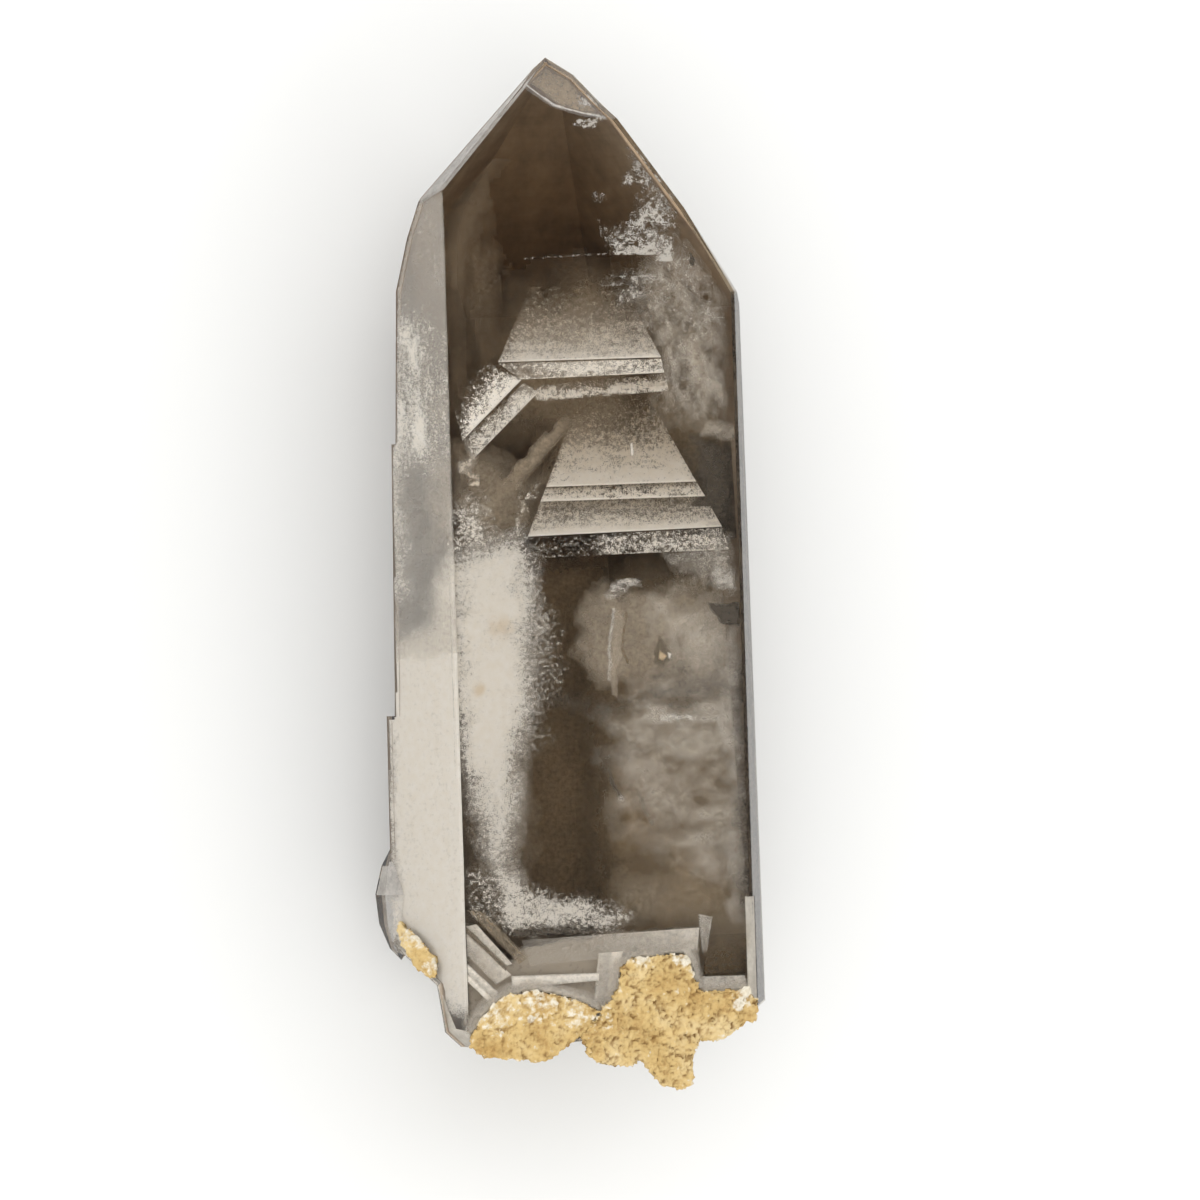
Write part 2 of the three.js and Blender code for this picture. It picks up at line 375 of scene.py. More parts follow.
# Outlines as seen on the face: (across, along), then how high it stands and how deep it reaches
clayLumps = {
    "clay_left": {
        "outline": [
            (0.1, -0.9), (1.0, 1.1), (2.7, 3.1), (4.6, 4.1), (7.0, 4.3), (9.4, 3.9), (12.3, 3.0),
            (14.0, 1.9), (12.4, -0.2), (10.8, -1.4), (9.2, -2.4), (7.3, -2.9), (4.6, -2.5), (2.2, -2.2),
            (0.7, -1.6),
        ],
        "under": underFront, "top": 0.45, "bottom": -9.5, "taper": 0.6, "rough": 0.8,
        "cream": [  # place, reach, strength
            ((3.0, 2.2), 3.8, 0.56), ((7.5, 3.4), 4.6, 0.58), ((11.5, 1.9), 3.0, 0.54),
            ((6.6, 1.4), 0.7, 1.8),
        ],
    },
    "clay_right": {
        "outline": [
            (11.5, -0.4), (13.8, 1.7), (15.1, 3.0), (16.1, 4.2), (16.0, 6.2), (17.4, 7.1), (20.4, 7.3),
            (23.2, 7.4), (23.9, 4.9), (24.5, 3.6), (26.7, 3.4), (29.4, 3.6), (30.6, 2.5), (30.4, 0.9),
            (28.2, -0.7), (26.3, -1.2), (24.5, -1.3), (23.6, -2.5), (23.4, -4.7), (22.9, -5.8),
            (21.6, -6.2), (20.1, -5.8), (19.2, -4.6), (18.2, -3.4), (15.3, -3.7), (13.7, -3.4),
            (12.6, -2.5),
        ],
        "under": underFront, "top": 0.6, "bottom": -11.5, "taper": 0.62, "rough": 1.0,
        "cream": [
            ((22.6, 6.9), 2.0, 0.8), ((18.4, 7.0), 1.6, 0.7), ((28.3, 2.0), 1.0, 1.8),
            ((24.0, 5.5), 1.2, 0.8), ((29.0, 2.8), 2.2, 0.7), ((14.0, 0.9), 1.6, 0.45),
        ],
    },
    "clay_side": {  # a jagged crust on the left face: (down, along)
        "outline": [
            (8.4, 11.6), (7.7, 10.4), (7.4, 9.4), (6.6, 9.3), (6.3, 8.1), (5.4, 8.5), (4.6, 8.2),
            (3.8, 8.0), (3.7, 7.1), (4.6, 6.6), (6.0, 6.9), (7.2, 7.9), (8.4, 9.4), (8.9, 10.6),
        ],
        "under": underLeft, "top": 0.5, "bottom": -2.0, "taper": 0.8, "rough": 0.6,
        "cream": [((-3.4, 10.0), 2.2, 0.7), ((-2.6, 7.0), 1.6, 0.6)],
    },
}


def creamAt(piece, spots):
    points = pointsOf(piece.data) / mm - (leftEdge, baseLine, 0)
    cream = np.zeros(len(points))
    for (across, along), reach, strength in spots:
        away = np.hypot(points[:, 0] - across, points[:, 1] - along)
        cream = np.maximum(cream, strength * smoothStep(1 - away / reach, 0, 1))
    setAttribute(piece.data, "cream", cream)


def pitsOf(piece):  # how far each point lies below its smoothed surroundings, which sets the painted shade in the hollows
    mesh = piece.data
    points = pointsOf(mesh)
    normals = pointsOf(mesh, "normal")
    ends = np.empty(len(mesh.edges) * 2, dtype=int)
    mesh.edges.foreach_get("vertices", ends)
    ends = ends.reshape(-1, 2)
    around = np.bincount(ends.ravel(), minlength=len(points))[:, None]
    smooth = points
    for _ in range(clay["pitSmooth"]):
        total = np.zeros_like(points)
        np.add.at(total, ends[:, 0], smooth[ends[:, 1]])
        np.add.at(total, ends[:, 1], smooth[ends[:, 0]])
        smooth = total / around
    depth = ((smooth - points) * normals).sum(axis=1) / mm
    setAttribute(mesh, "pit", depth / clay["pitDepth"])


def crumble(piece, rough):
    for k, (size, push) in enumerate(clay["crumbs"]):
        texture = bpy.data.textures.new(piece.name + str(k), "CLOUDS")
        texture.noise_scale = size * mm
        texture.noise_type = "HARD_NOISE"
        settings = {"texture": texture, "texture_coords": "LOCAL", "mid_level": clay["midLevel"]}
        applyModifier(piece, "DISPLACE", {**settings, "strength": push * rough * mm})


def makeClay(node, lump):
    bpy.ops.object.select_all(action="DESELECT")
    bpy.ops.mesh.primitive_circle_add(vertices=len(lump["outline"]), radius=mm, fill_type="NGON")
    piece = bpy.context.object
    piece.name = node + "_lump"
    for vertex, (across, along) in zip(piece.data.vertices, lump["outline"]):
        vertex.co = Vector(lump["under"](across, along, -lump["top"])) * mm
    thickness = lump["top"] - lump["bottom"]
    inward = Vector(lump["under"](0, 0, 1) - lump["under"](0, 0, 0)) * thickness * mm
    bpy.ops.object.mode_set(mode="EDIT")
    bpy.ops.mesh.select_all(action="SELECT")
    bpy.ops.mesh.extrude_region_move(TRANSFORM_OT_translate={"value": inward})
    bpy.ops.transform.resize(value=(lump["taper"], lump["taper"], 1))
    bpy.ops.mesh.select_all(action="SELECT")
    bpy.ops.mesh.normals_make_consistent(inside=False)
    bpy.ops.object.mode_set(mode="OBJECT")
    copyNode(node, node + "_pocket")  # what fills the pocket in the quartz is joined to it
    piece.select_set(True)
    bpy.context.view_layer.objects.active = piece
    bpy.ops.object.join()
    applyModifier(piece, "REMESH", {"mode": "VOXEL", "voxel_size": clay["voxel"] * mm})
    applyModifier(piece, "SMOOTH", {"iterations": 3, "factor": 0.5})
    crumble(piece, lump["rough"])
    pitsOf(piece)
    creamAt(piece, lump["cream"])
    selectOnly(piece)
    bpy.ops.object.shade_smooth()
    finishPiece(piece, clayFinish)
    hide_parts(node)
    print(piece.name, len(piece.data.polygons), "faces")


crystal = makeCrystal()
for node, lump in clayLumps.items():
    makeClay(node, lump)
print("quartz and clay made")


def valueNoise(p, q, cell, seed):
    lattice = np.random.default_rng(seed).random((256, 256))
    cellP, cellQ = cell
    u = p / cellP + 57.3
    v = q / cellQ + 31.7
    i = np.floor(u).astype(int)
    j = np.floor(v).astype(int)
    fu = smoothStep(u - i, 0, 1)
    fv = smoothStep(v - j, 0, 1)
    low = lattice[i % 256, j % 256] * (1 - fu) + lattice[(i + 1) % 256, j % 256] * fu
    high = lattice[i % 256, (j + 1) % 256] * (1 - fu) + lattice[(i + 1) % 256, (j + 1) % 256] * fu
    return low * (1 - fv) + high * fv


def dapple(p, q, cell, seed):  # four octaves, from 0 to 1
    total = 0
    weight = 0
    for octave in range(4):
        share = 0.6 ** octave
        size = (cell[0] / 2 ** octave, cell[1] / 2 ** octave)
        total = total + share * valueNoise(p, q, size, seed + octave)
        weight += share
    return total / weight


def insideBy(p, q, outline):  # how far inside the outline each point is, negative outside
    corners = np.array(outline, dtype=float)
    nextCorners = np.roll(corners, -1, axis=0)
    nearest = np.full(p.shape, 1e9)
    crossings = np.zeros(p.shape, dtype=int)
    for (ax, ay), (bx, by) in zip(corners, nextCorners):
        ex, ey = bx - ax, by - ay
        t = np.clip(((p - ax) * ex + (q - ay) * ey) / (ex * ex + ey * ey), 0, 1)
        nearest = np.minimum(nearest, np.hypot(p - ax - t * ex, q - ay - t * ey))
        if ay != by:
            reach = (ay > q) != (by > q)
            crossings += reach & (p < ax + (q - ay) * ex / ey)
    return np.where(crossings % 2 == 1, nearest, -nearest)


def insideQuartz(points):
    keep = np.zeros(len(points), dtype=bool)
    ray = Vector((0.31, 0.17, 0.93))  # any way that follows no face
    for k, point in enumerate(points):
        start = Vector(point) * mm
        if quartzSurface.find_nearest(start)[3] < sheet["margin"] * mm:
            continue
        crossed = 0
        hit = quartzSurface.ray_cast(start, ray)[0]
        while hit:
            crossed += 1
            hit = quartzSurface.ray_cast(hit + ray * 1e-6, ray)[0]
        keep[k] = crossed % 2 == 1
    return keep


sheet = {
    "margin": 0.12,  # mm that every veil keeps from the quartz's surface
    "thickness": 0.03,  # mm
    "leastCover": 0.02,  # thinner dust has no mesh
    "patternShift": 7.3,  # mm between the patterns of two veils
}
# What a veil has where its own row says nothing else. Sizes are in mm.
veilUsual = {
    "step": 0.25,  # of the grid
    "rise": 0,  # deeper by this with each mm along
    "lean": 0,  # and with each mm across
    "ripple": 0.15,
    "clump": (1.5, 1.5),  # size of the clumps, across and along
    "contrast": 0.5,  # between clumps and gaps
    "grain": 0.8,  # 0 is a smooth haze and 1 is dust
    "pale": 1.0,  # 0 is black and 1 is white
    "tint": 0.0,  # towards brown
    "ragged": 0.35,  # upper edge of a four-cornered veil
    "warp": 0.8,  # edge of a free veil
    "stains": [],  # place, size, strength
}


def patchSpots(veil, step, seed):  # a grid between four corners, from the lower edge up
    a, b, c, d = (np.array(corner, dtype=float) for corner in veil["corners"])
    columns = max(2, int(max(np.linalg.norm(b - a), np.linalg.norm(c - d)) / step) + 1)
    rows = max(2, int(max(np.linalg.norm(d - a), np.linalg.norm(c - b)) / step) + 1)
    s, t = np.meshgrid(np.linspace(0, 1, columns), np.linspace(0, 1, rows), indexing="ij")
    spots = (
        a * ((1 - s) * (1 - t))[..., None] + b * (s * (1 - t))[..., None]
        + c * (s * t)[..., None] + d * ((1 - s) * t)[..., None]
    )
    ragged = (dapple(spots[..., 0], spots[..., 1], (0.9, 0.5), seed + 3) - 0.5) * 2
    cover = np.interp(t + ragged * veil["ragged"] * t, *zip(*veil["rows"]))
    if "columns" in veil:
        cover = cover * np.interp(s, *zip(*veil["columns"]))
    return spots[..., 0], spots[..., 1], cover


def freeSpots(veil, step, seed):  # a grid over an outline with soft edges
    outline = np.array(veil["outline"], dtype=float)
    low = outline.min(axis=0) - veil["spread"]
    high = outline.max(axis=0) + veil["spread"]
    across, along = (np.arange(low[k], high[k], step) for k in range(2))
    p, q = np.meshgrid(across, along, indexing="ij")
    warpedP = p + (dapple(p, q, (2.2, 2.2), seed + 1) - 0.5) * 4 * veil["warp"]
    warpedQ = q + (dapple(p, q, (2.2, 2.2), seed + 2) - 0.5) * 4 * veil["warp"]
    inside = insideBy(warpedP, warpedQ, veil["outline"])
    cover = veil["cover"] * smoothStep(inside, -veil["spread"], veil["spread"])
    if "hollow" in veil:
        cover = np.where(inside < veil["hollow"], cover, 0)
    return p, q, cover


def fillCorners(keep):  # joins cells that only touch at a corner
    while True:
        a, b, c, d = keep[:-1, :-1], keep[1:, :-1], keep[:-1, 1:], keep[1:, 1:]
        pinched = (a & d & ~b & ~c) | (b & c & ~a & ~d)
        if not pinched.any():
            return keep
        keep = keep.copy()
        for i, j in np.argwhere(pinched):
            keep[i:i + 2, j:j + 2] = True


def slab(points, keep, thickness):  # a closed thin sheet over the cells that are kept
    columns, rows = points.shape[:2]
    number = np.arange(columns * rows).reshape(columns, rows)
    a, b = number[:-1, :-1][keep], number[1:, :-1][keep]
    c, d = number[1:, 1:][keep], number[:-1, 1:][keep]
    top = np.stack([a, b, c, d], axis=1)
    under = columns * rows
    padded = np.pad(keep, 1)
    rims = []
    sides = {(0, -1): (0, 1), (1, 0): (1, 2), (0, 1): (2, 3), (-1, 0): (3, 0)}
    for (di, dj), (start, stop) in sides.items():
        edge = keep & ~padded[1 + di:1 + di + keep.shape[0], 1 + dj:1 + dj + keep.shape[1]]
        begin, end = top[edge[keep], start], top[edge[keep], stop]
        rims.append(np.stack([end, begin, begin + under, end + under], axis=1))
    faces = np.concatenate([top, top[:, ::-1] + under, *rims])
    used, renumbered = np.unique(faces, return_inverse=True)
    flat = points.reshape(-1, 3)
    both = np.concatenate([flat, flat + np.asarray(thickness)])
    return both[used], renumbered.reshape(faces.shape), used % under


def stainAt(veil, p, q, seed):
    stain = np.full(len(p), veil["tint"])
    for centre, size, strength in veil["stains"]:
        away = np.hypot(p - centre[0], q - centre[1])
        mottle = dapple(p, q, (0.8, 0.8), seed)
        stain = np.maximum(stain, strength * smoothStep(1 - away / size + (mottle - 0.5), 0, 0.8))
    return stain


def veilParts(veil, under, shift, seed, stainSeed):  # the points, faces, places and attributes of one veil
    isPatch = "corners" in veil
    makeSpots = patchSpots if isPatch else freeSpots
    p, q, cover = makeSpots(veil, veil["step"], seed)
    cover = cover * (1 + (dapple(p, q, veil["clump"], seed) - 0.5) * 2 * veil["contrast"])
    depth = veil["depth"] + veil["rise"] * (q - q.min()) + veil["lean"] * (p - p.min())
    depth = depth + (dapple(p, q, (4, 4), seed + 5) - 0.5) * veil["ripple"]
    points = under(p, q, depth)
    solid = (cover > sheet["leastCover"]) & insideQuartz(points.reshape(-1, 3)).reshape(p.shape)
    corners = [solid[:-1, :-1], solid[1:, :-1], solid[1:, 1:], solid[:-1, 1:]]
    keep = fillCorners(np.all(corners, axis=0) if isPatch else np.sum(corners, axis=0) >= 3)
    if not keep.any():
        return None
    inward = (under(0, 0, 1) - under(0, 0, 0)) * sheet["thickness"]
    slabPoints, faces, used = slab(points, keep, inward)
    p, q = p.ravel()[used], q.ravel()[used]
    return {
        "points": slabPoints,
        "faces": faces,
        "spot": np.stack([p, q], axis=-1) + shift,
        "cover": cover.ravel()[used],
        "grain": np.full(len(used), veil["grain"]),
        "pale": np.full(len(used), veil["pale"]),
        "stain": stainAt(veil, p, q, stainSeed),
    }


def makeVeil(name, veils, usual, under, seed):
    made = []
    first = 0
    for k, own in enumerate(veils):
        veil = {**veilUsual, **usual, **own}
        parts = veilParts(veil, under, sheet["patternShift"] * k, seed + 10 * k, seed + 77)
        if parts:
            parts["faces"] = parts["faces"] + first
            first += len(parts["points"])
            made.append(parts)
    joined = {key: np.concatenate([parts[key] for parts in made]) for key in made[0]}
    mesh = bpy.data.meshes.new(name)
    mesh.from_pydata(joined["points"] * mm, [], joined["faces"])
    corner = np.empty(len(mesh.loops), dtype=int)
    mesh.loops.foreach_get("vertex_index", corner)
    spots = mesh.uv_layers.new(name="spot")
    spots.data.foreach_set("uv", joined["spot"][corner].ravel())
    for key in ("cover", "grain", "pale", "stain"):
        setAttribute(mesh, key, joined[key])
    mesh.polygons.foreach_set("use_smooth", np.ones(len(mesh.polygons), dtype=bool))
    piece = bpy.data.objects.new(name, mesh)
    bpy.context.scene.collection.objects.link(piece)
    finishPiece(piece, veilFinish)
    print(name, len(mesh.polygons), "faces")


rhombRise = math.tan(math.radians(38.2))  # a phantom's tip face goes this much deeper with each mm along
phantoms = [
    # upper phantom: its tip face, the lip below it, and the second step
    {"corners": [(5.34, 67.03), (22.41, 67.15), (18.6, 74.6), (8.9, 74.6)], "depth": 1.2,
     "rise": rhombRise, "rows": [(0, 1.5), (0.025, 0.85), (0.12, 0.6), (0.3, 0.46), (0.55, 0.3),
     (0.8, 0.13), (1, 0.02)], "columns": [(0, 0.5), (0.08, 1), (0.95, 1), (1, 0.8)], "clump": (1.8, 0.5),
     "grain": 0.5},
    {"corners": [(7.6, 65.25), (22.7, 65.6), (22.4, 67.0), (5.4, 66.9)], "depth": 1.3, "rows": [(0, 1.0),
     (0.12, 0.55), (0.5, 0.62), (0.85, 0.6), (1, 0.5)], "columns": [(0, 0.6), (0.1, 0.5), (0.3, 0.8),
     (0.5, 1), (1, 1)], "clump": (1.2, 0.4), "contrast": 0.7},
    {"corners": [(9.3, 63.0), (23.1, 63.75), (22.8, 65.5), (8.4, 64.6)], "depth": 1.5, "rise": rhombRise,
     "rows": [(0, 0.25), (0.15, 0.7), (0.4, 0.75), (0.7, 0.45), (1, 0.15)], "columns": [(0, 0.9),
     (0.3, 0.9), (0.5, 0.6), (0.62, 1.1), (1, 1.1)], "clump": (1.4, 0.4), "contrast": 0.9, "grain": 1},
    # its left arm, stepped twice
    {"corners": [(1.4, 59.3), (7.7, 65.2), (4.2, 67.2), (0.5, 63.2)], "depth": 0.9, "rows": [(0, 1.5),
     (0.06, 1.0), (0.3, 0.75), (0.55, 0.42), (0.8, 0.15), (1, 0.02)], "columns": [(0, 0.3), (0.15, 0.8),
     (0.4, 0.75), (0.9, 1), (1, 0.5)], "clump": (1.0, 1.0), "contrast": 0.6, "grain": 1},
    {"corners": [(2.3, 57.3), (9.4, 63.9), (8.0, 65.0), (1.3, 59.2)], "depth": 1.3, "rows": [(0, 1.2),
     (0.08, 0.8), (0.5, 0.6), (0.8, 0.45), (1, 0.1)], "columns": [(0, 0.3), (0.15, 0.8), (0.9, 1),
     (1, 0.4)], "clump": (0.7, 0.7), "grain": 0.9, "pale": 0.9},
    {"corners": [(4.0, 51.2), (13.6, 60.9), (11.9, 62.0), (2.8, 53.0)], "depth": 8, "rows": [(0, 0.02),
     (0.4, 0.6), (0.65, 0.6), (1, 0.02)], "columns": [(0, 0.3), (0.3, 1), (0.8, 1), (1, 0.3)],
     "contrast": 0.3, "grain": 0.0},
    # lower phantom: its tip face in three steps, and its lip
    {"corners": [(7.87, 49.55), (28.28, 49.99), (26.6, 53.1), (9.3, 53.0)], "depth": 1.5,
     "rise": rhombRise, "rows": [(0, 1.7), (0.07, 1.2), (0.2, 0.75), (0.5, 0.5), (0.8, 0.45), (1, 0.6)],
     "clump": (2.4, 0.5), "contrast": 0.4, "grain": 0.65},
    {"corners": [(9.3, 53.0), (26.6, 53.1), (25.7, 54.6), (9.95, 54.45)], "depth": 2.0, "rise": rhombRise,
     "rows": [(0, 1.1), (0.15, 0.7), (0.6, 0.6), (1, 0.5)], "clump": (1.6, 0.4), "contrast": 0.8,
     "grain": 0.95},
    {"corners": [(9.95, 54.45), (25.7, 54.6), (20.6, 64.0), (13.9, 64.0)], "depth": 2.0,
     "rise": rhombRise, "rows": [(0, 1.5), (0.03, 1.0), (0.25, 0.8), (0.45, 0.55), (0.7, 0.35),
     (1, 0.02)], "columns": [(0, 0.6), (0.05, 1), (0.97, 1), (1, 0.8)], "clump": (2.2, 0.5),
     "contrast": 0.55},
    {"corners": [(8.5, 47.4), (28.9, 47.7), (28.3, 49.9), (8.0, 49.4)], "depth": 1.6, "rows": [(0, 0.7),
     (0.1, 0.45), (0.6, 0.5), (1, 0.3)], "columns": [(0, 0.3), (0.3, 0.35), (0.38, 0.9), (1, 1)],
     "clump": (1.6, 0.4), "contrast": 0.8, "grain": 1, "pale": 0.85},
    {"outline": [(7.5, 53.5), (9.5, 54.6), (7.6, 51.2), (6.2, 50)], "depth": 1.6, "spread": 0.8,
     "cover": 0.35, "clump": (0.8, 0.8), "contrast": 1.2, "grain": 1},
    {"outline": [(1.2, 57.5), (2.6, 57.5), (2.2, 55.8), (1.2, 56)], "depth": 1, "spread": 0.6,
     "cover": 0.6, "clump": (0.6, 0.6), "grain": 0.6, "pale": 0.8, "tint": 0.2},
]
cloudUsual = {"grain": 1, "pale": 0.8}
cloud = [
    {"outline": [(0.3, 46.5), (2.5, 47.8), (6.6, 48.9), (7.4, 45), (7.6, 40.5), (7.2, 36.5), (6.6, 32),
     (5.2, 26), (4.7, 21), (4.4, 17), (3.7, 18.5), (2.5, 23), (1.2, 28.5), (0.3, 33)], "depth": 0.7,
     "spread": 2.8, "cover": 1.2, "warp": 0.6, "clump": (2.2, 2.2), "contrast": 0.3, "grain": 0.7,
     "pale": 0.73, "stains": [((4.8, 40.6), 1.6, 0.35), ((2.4, 34.5), 0.9, 0.45)]},
    {"outline": [(7.5, 47), (9.0, 44), (10.2, 40), (10.8, 36.5), (9, 34), (7, 26), (5.8, 20), (5, 22),
     (6, 34)], "depth": 1.0, "spread": 1.8, "cover": 0.3, "clump": (0.9, 0.9), "contrast": 1.0},
    {"outline": [(0.3, 47), (3.5, 48), (4.6, 51), (2.6, 53.4), (0.3, 52)], "depth": 0.8, "spread": 1.5,
     "cover": 0.5, "clump": (1, 1), "contrast": 0.7},
    {"outline": [(3.6, 17.5), (6.5, 14.8), (10, 13.2), (15.8, 11.9), (17.2, 11.3), (15, 10.4),
     (4.8, 10.5), (3.4, 13.0)], "depth": 0.8, "spread": 1.3, "cover": 0.75, "warp": 0.4,
     "clump": (1.4, 0.8), "pale": 0.72},
    {"outline": [(0.5, 17), (4, 16), (4, 11.5), (0.5, 13)], "depth": 0.9, "spread": 0.8, "cover": 0.28,
     "clump": (0.7, 0.7), "contrast": 1.2},
]
smokeUsual = {"depth": 1.5, "spread": 2, "cover": 0.3, "clump": (2, 2), "grain": 0}
smoke = [
    # tan smoke deep in the quartz: round the phantoms, down the middle, and the lower right
    {"outline": [(6, 62), (22, 62), (20, 71), (15, 73), (9, 71)], "depth": 12, "spread": 7, "cover": 0.7,
     "step": 0.5, "clump": (4, 4)},
    {"outline": [(10, 55), (24, 55), (24, 64), (12, 64)], "depth": 11, "spread": 3, "cover": 0.55,
     "step": 0.5, "clump": (4, 4), "contrast": 0.4},
    {"outline": [(15, 0), (36, 0), (36, 43), (19, 43), (15, 38), (17, 26)], "depth": 14.5, "lean": -0.46,
     "spread": 5.5, "cover": 1.5, "step": 0.5, "clump": (7, 5), "contrast": 0.15, "pale": 0.62,
     "tint": 0.16},
    {"outline": [(5, 10), (16, 10), (16, 47), (6, 47)], "depth": 16, "spread": 3, "cover": 0.5,
     "step": 0.5, "clump": (4, 6), "contrast": 0.4},
    {"outline": [(20, 50), (36, 50), (36, 73), (27, 80), (20, 79)], "depth": 10.5, "lean": -0.48,
     "spread": 3, "cover": 0.8, "step": 0.35, "clump": (2.4, 3.4), "pale": 0.26, "tint": 0.22},
    {"outline": [(1, 78), (4, 84), (6, 88), (4.5, 88), (2, 82)], "depth": 9, "cover": 0.35, "step": 0.4,
     "clump": (3, 5), "tint": 0.3},
    {"outline": [(0.8, 49), (6, 49), (10, 55), (4, 57), (0.8, 58)], "depth": 8, "cover": 0.42,
     "step": 0.4, "clump": (3, 3)},
    {"outline": [(0.3, 58), (4, 62), (5, 76), (4, 84), (0.3, 80)], "depth": 9, "spread": 2.5,
     "cover": 0.17, "step": 0.3, "clump": (1.4, 5), "contrast": 1.2, "tint": 0.35},
    {"outline": [(15, 10.5), (25, 10.5), (25, 15), (16, 14.5)], "depth": 4, "cover": 0.26, "step": 0.4,
     "clump": (3, 2), "pale": 0.7, "tint": 0.3},
    {"outline": [(0.5, 9), (7, 9), (6, 34), (0.5, 34)], "depth": 8, "step": 0.4, "clump": (3, 3)},
    # beige cloud on the right, and the grey wisps that cross below it
    {"outline": [(13.2, 42.4), (16, 43.6), (20, 42.5), (24, 44), (29.4, 43), (29.6, 35), (20, 34.5),
     (13.8, 35.5)], "depth": 6.0, "spread": 1.6, "cover": 0.45, "warp": 1.0, "clump": (3, 2.5)},
    {"outline": [(21, 42), (29.4, 41.5), (29.6, 35), (22, 34.5)], "depth": 2.5, "spread": 2.5,
     "warp": 1.2, "clump": (2, 1.6), "contrast": 0.9, "grain": 0.1},
    {"outline": [(19, 30), (29, 28.5), (29.5, 34.5), (19, 34.5)], "spread": 2.5, "cover": 0.2,
     "warp": 1.2, "clump": (2.4, 0.9), "contrast": 1.5, "grain": 0.05},
    {"outline": [(17, 20), (29.4, 14), (29.5, 30), (16, 31)], "depth": 2.0, "spread": 3, "cover": 0.15,
     "warp": 1.2, "clump": (2.6, 1.3), "contrast": 1.6, "grain": 0.05},
    {"outline": [(16, 26), (20, 27), (21, 20), (17, 18)], "depth": 5, "contrast": 0.8, "pale": 0.5,
     "tint": 0.6},
    {"outline": [(22, 18), (29, 16), (29, 10), (21, 11)], "depth": 3, "cover": 0.28, "contrast": 0.8,
     "pale": 0.5, "tint": 0.5},
    {"outline": [(9, 32.3), (17.5, 31.3), (18, 33.0), (10, 34)], "depth": 1.2, "spread": 1.0,
     "clump": (1.6, 0.5), "contrast": 1.4, "grain": 0.3, "pale": 0.05},
    {"outline": [(20, 36.5), (29, 36), (29.5, 33), (24, 31), (20, 33)], "depth": 1.2, "spread": 1.2,
     "cover": 0.22, "warp": 1.4, "clump": (1.4, 0.5), "contrast": 1.8, "grain": 0.4, "pale": 0.08},
    {"outline": [(27.9, 12), (29.6, 10), (29.6, 41), (28, 34), (28.5, 24)], "spread": 1.0,
     "clump": (1, 1.4), "contrast": 1.2, "grain": 0.2, "pale": 0.85},
    {"outline": [(28.9, 12), (29.9, 10), (29.9, 36), (29, 34), (29.2, 24)], "depth": 0.8, "spread": 0.6,
     "cover": 0.35, "clump": (0.7, 0.6), "contrast": 1.6, "grain": 0.6, "pale": 0.08},
    # brown and beige wisps on the upper right
    {"outline": [(22.5, 60), (28.3, 60), (29.0, 72), (26, 78), (22.5, 80), (20.5, 74)], "depth": 2.5,
     "spread": 1.5, "cover": 0.14, "clump": (0.9, 1.6), "contrast": 1.9, "grain": 0.1, "tint": 0.25},
    {"outline": [(22.5, 62), (28.3, 62), (29.0, 72), (26, 78), (22.5, 79), (20.5, 73)], "spread": 1.5,
     "cover": 0.13, "clump": (0.6, 0.9), "contrast": 1.9, "grain": 0.4},
    {"outline": [(25.0, 69.0), (26.2, 68.8), (29.0, 64.5), (29.1, 61.6), (27.4, 63.4)], "depth": 3.0,
     "spread": 0.8, "cover": 0.36, "clump": (0.8, 1.0), "contrast": 1.0, "grain": 0.1, "tint": 0.1},
    {"outline": [(26.3, 59.2), (29.8, 58.9), (29.8, 60.2), (26.6, 60.5)], "depth": 3.0, "spread": 0.6,
     "cover": 0.4, "warp": 0.4, "clump": (1.0, 0.6), "contrast": 0.8, "grain": 0.1},
    {"outline": [(25.5, 50), (29.9, 50), (29.9, 58), (25.5, 58.5)], "depth": 3.5, "spread": 1.2,
     "cover": 0.75, "contrast": 0.3, "pale": 0.12},
    {"outline": [(22, 47.5), (29.3, 43.5), (29.3, 48), (27, 49.5)], "depth": 2.0, "spread": 1.2,
     "cover": 0.4, "clump": (1.6, 1.2), "contrast": 0.9, "grain": 0.4, "pale": 0.85},
]
crustUsual = {"depth": 0.3, "contrast": 1.5, "grain": 0.9, "pale": 0.62, "step": 0.1, "warp": 0.5}
